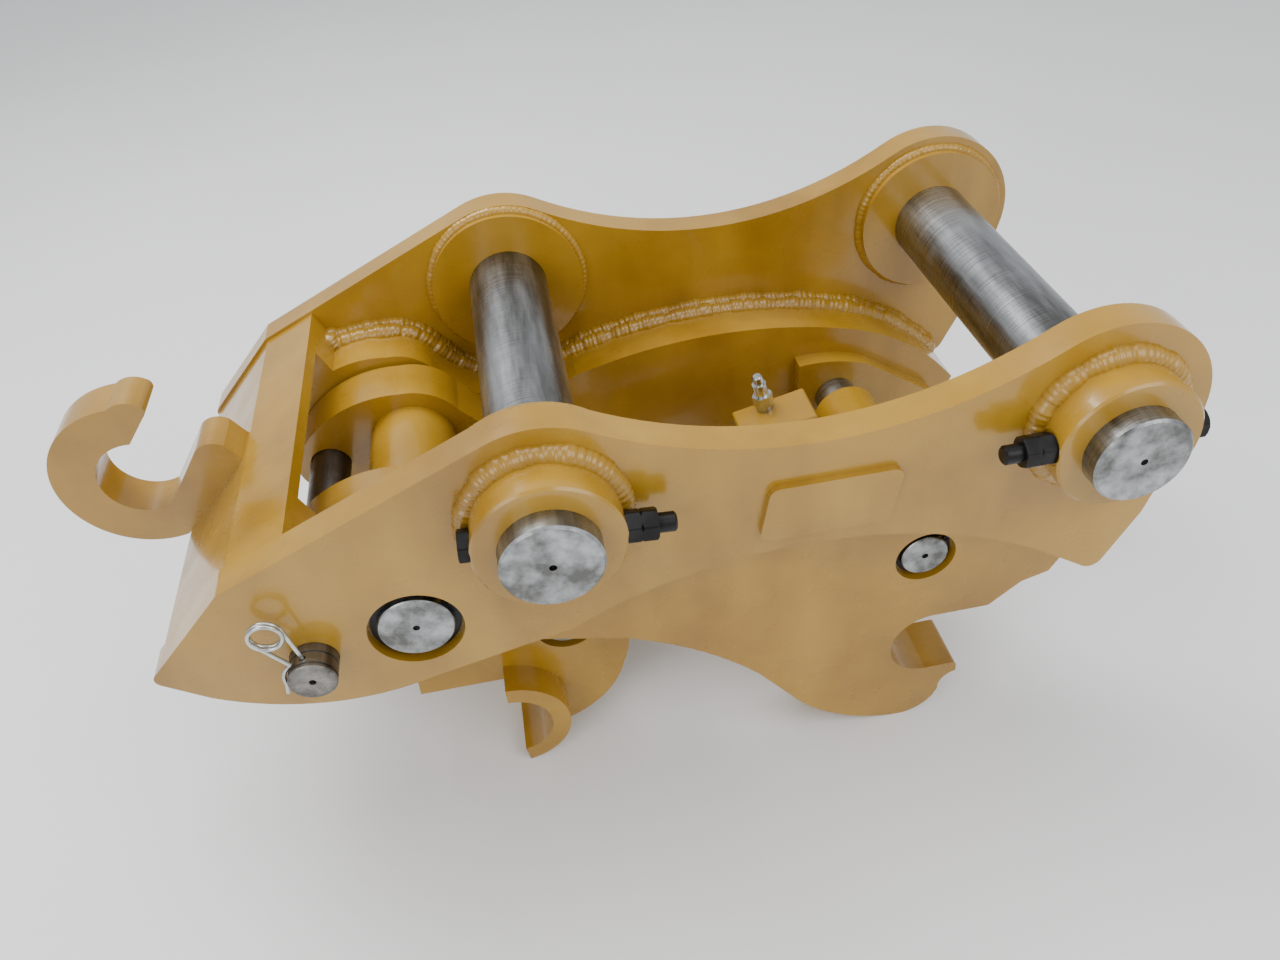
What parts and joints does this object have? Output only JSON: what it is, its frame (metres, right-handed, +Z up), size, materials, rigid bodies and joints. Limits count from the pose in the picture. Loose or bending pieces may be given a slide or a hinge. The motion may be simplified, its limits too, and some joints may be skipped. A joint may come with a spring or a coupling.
{
  "type": "hydraulic quick coupler",
  "caption": "Pin-grab excavator coupler: two ear plates with machine pins, fixed jaws, a hydraulic swing hook, a cross safety pin with spring clip, and a lifting hook.",
  "frame": {"origin": "on the axis of the link pin, midway between the ears", "axes": "+X from the link pin to the stick pin, +Y along the pins toward the side without bolts, +Z up and away from the bucket"},
  "size_m": [0.977, 0.52, 0.4855],
  "materials": {
    "yellow_paint": "gloss",
    "turned_steel": "satin",
    "black_oxide": "satin",
    "plain_steel": "satin",
    "hard_chrome": "gloss",
    "seal_rubber": "matte",
    "bronze": "satin",
    "zinc_plate": "bright",
    "safety_pin_steel": "satin"
  },
  "bodies": {
    "frame": {"near_ear": "yellow_paint", "far_ear": "yellow_paint", "near_jaw": "yellow_paint", "far_jaw": "yellow_paint", "near_doubler": "yellow_paint", "far_doubler": "yellow_paint", "near_link_boss": "yellow_paint", "far_link_boss": "yellow_paint", "near_stick_boss": "yellow_paint", "far_stick_boss": "yellow_paint", "near_link_disc": "yellow_paint", "far_link_disc": "yellow_paint", "near_stick_disc": "yellow_paint", "far_stick_disc": "yellow_paint", "nose_top_plate": "yellow_paint", "nose_front_plate": "yellow_paint", "lifting_hook": "yellow_paint", "name_pad": "yellow_paint", "link_pin": "turned_steel", "stick_pin": "turned_steel", "link_pin_bolt": "black_oxide", "link_pin_nuts": "black_oxide", "stick_pin_bolt": "black_oxide", "stick_pin_nuts": "black_oxide", "hook_pivot_pin": "turned_steel", "hook_pivot_circlips": "black_oxide", "cylinder_pin": "turned_steel", "cylinder_pin_circlips": "black_oxide"},
    "swing_hook": {"near_hook_cheek": "yellow_paint", "far_hook_cheek": "yellow_paint", "hook_hub": "yellow_paint", "hook_bushes": "bronze", "hook_seat": "yellow_paint", "rod_pin": "turned_steel", "rod_pin_circlips": "black_oxide"},
    "cylinder": {"cylinder_barrel": "yellow_paint", "cap_eye": "yellow_paint", "cap_eye_bush": "bronze", "cylinder_gland": "plain_steel", "rod_wiper": "seal_rubber", "valve_block": "yellow_paint", "hose_fitting": "zinc_plate"},
    "rod": {"piston": "plain_steel", "piston_seal": "seal_rubber", "piston_rod": "hard_chrome", "rod_eye": "plain_steel"},
    "safety_pin": {"safety_pin": "safety_pin_steel"},
    "spring_clip": {"spring_clip": "zinc_plate"}
  },
  "joints": [
    {"name": "hook_swing", "type": "hinge", "parent": "frame", "child": "swing_hook", "pos_m": [-0.121, 0, -0.1], "axis": [0, 1, 0], "range_deg": [0, 18]},
    {"name": "cylinder_tilt", "type": "hinge", "parent": "frame", "child": "cylinder", "pos_m": [0.338, 0, -0.159], "axis": [0, 1, 0], "range_deg": [-3.09, 0]},
    {"name": "rod_stroke", "type": "slide", "parent": "cylinder", "child": "rod", "axis": [-0.9764, 0, -0.216], "range_m": [0, 0.05294]},
    {"name": "safety_pin_draw", "type": "slide", "parent": "frame", "child": "safety_pin", "axis": [0, -1, 0], "range_m": [0, 0.43]},
    {"name": "clip_draw", "type": "slide", "parent": "safety_pin", "child": "spring_clip", "axis": [-0.1736, 0, 0.9848], "range_m": [0, 0.06]}
  ],
  "couplings": [
    {"joint": "cylinder_tilt", "follows": "hook_swing", "ratio": -0.17136},
    {"joint": "rod_stroke", "follows": "hook_swing", "m_per_rad": 0.16819}
  ]
}
